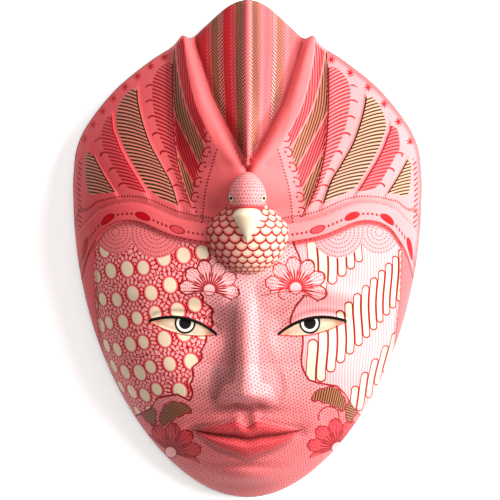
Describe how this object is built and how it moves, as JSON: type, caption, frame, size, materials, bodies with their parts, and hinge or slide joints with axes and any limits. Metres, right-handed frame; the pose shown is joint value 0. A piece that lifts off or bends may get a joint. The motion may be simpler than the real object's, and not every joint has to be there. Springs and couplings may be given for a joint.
{
  "type": "batik-painted wooden wall mask",
  "caption": "Hollow carved wooden wall mask, batik-painted in pinks: a calm face under a winged headdress, with a bird on the brow and its pleated tail fan as the crest.",
  "frame": {"origin": "centre of the mask's outline in the plane of its flat back, which it lies on", "axes": "+X to the viewer's right across the face, +Y from the chin to the crest, +Z out of the face"},
  "size_m": [0.1823, 0.26, 0.0903],
  "materials": {
    "painted_wood": "satin lacquer over fine red, cream and brown-green batik painting on pink; bare carved wood inside"
  },
  "bodies": {
    "root": {"mask": "painted_wood"}
  },
  "joints": []
}
